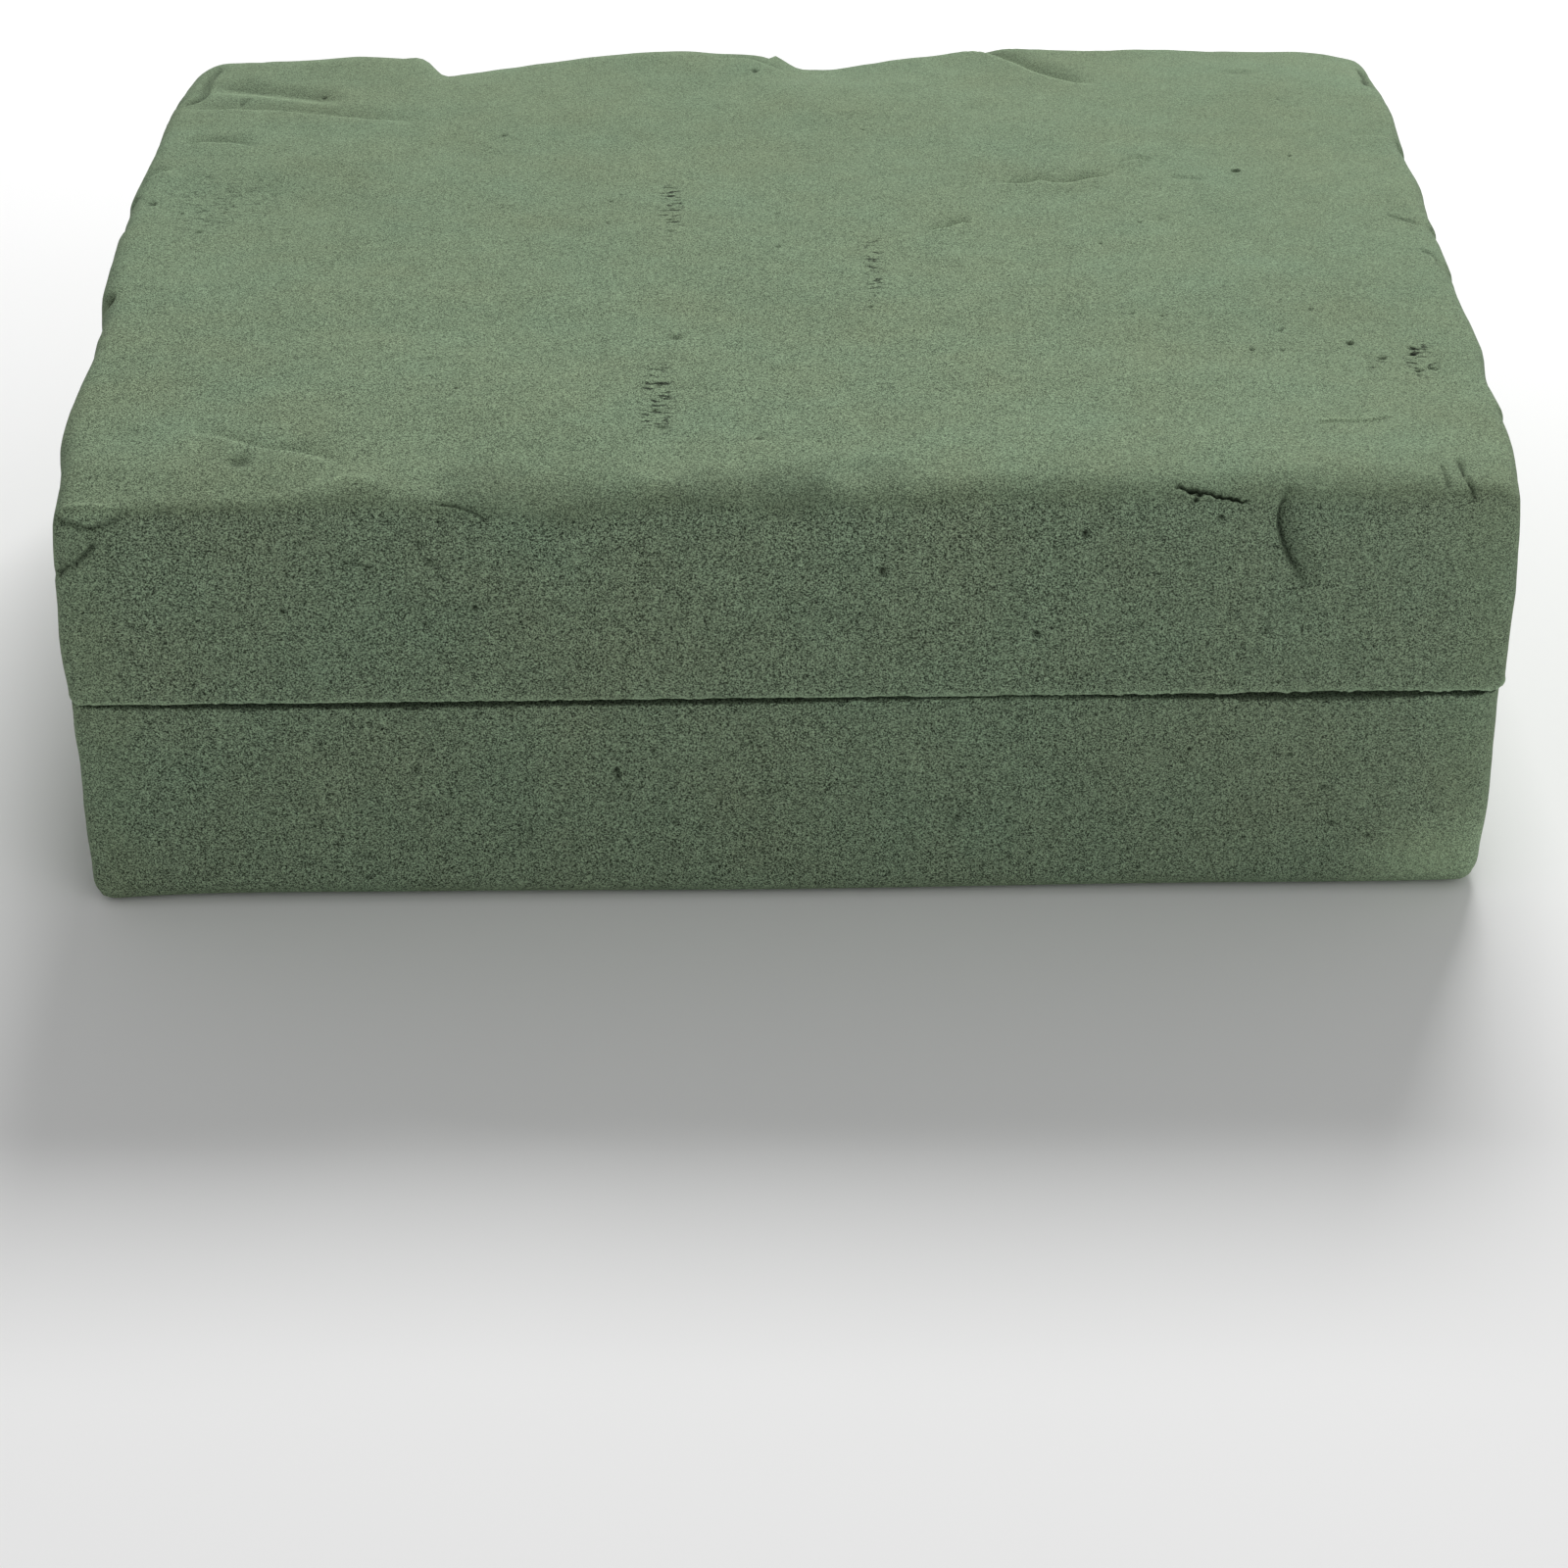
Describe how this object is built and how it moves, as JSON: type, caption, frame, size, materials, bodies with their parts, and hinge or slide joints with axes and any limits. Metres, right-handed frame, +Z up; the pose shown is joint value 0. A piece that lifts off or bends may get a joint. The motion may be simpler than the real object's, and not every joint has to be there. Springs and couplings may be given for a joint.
{
  "type": "floral foam brick",
  "caption": "Rigid green open-cell floral foam brick with a wrinkled cast skin and rounded edges, sawn level so that its upper slab lifts off its lower slab.",
  "frame": {"origin": "middle of the flat base on which the brick stands", "axes": "+X along the length, +Y from the sawn front face to the back, +Z up, square to the saw cut"},
  "size_m": [0.23, 0.172, 0.076],
  "materials": {
    "floral_foam": "dry matte open-cell phenolic foam, finely granular on the sawn faces and smoother on the cast skin"
  },
  "bodies": {
    "lower_slab": {"lower_slab": "floral_foam"},
    "upper_slab": {"upper_slab": "floral_foam"}
  },
  "joints": [
    {"name": "upper_slab_lift", "type": "slide", "parent": "lower_slab", "child": "upper_slab", "axis": [0, 0, 1], "range_m": [0, 0.1]}
  ]
}
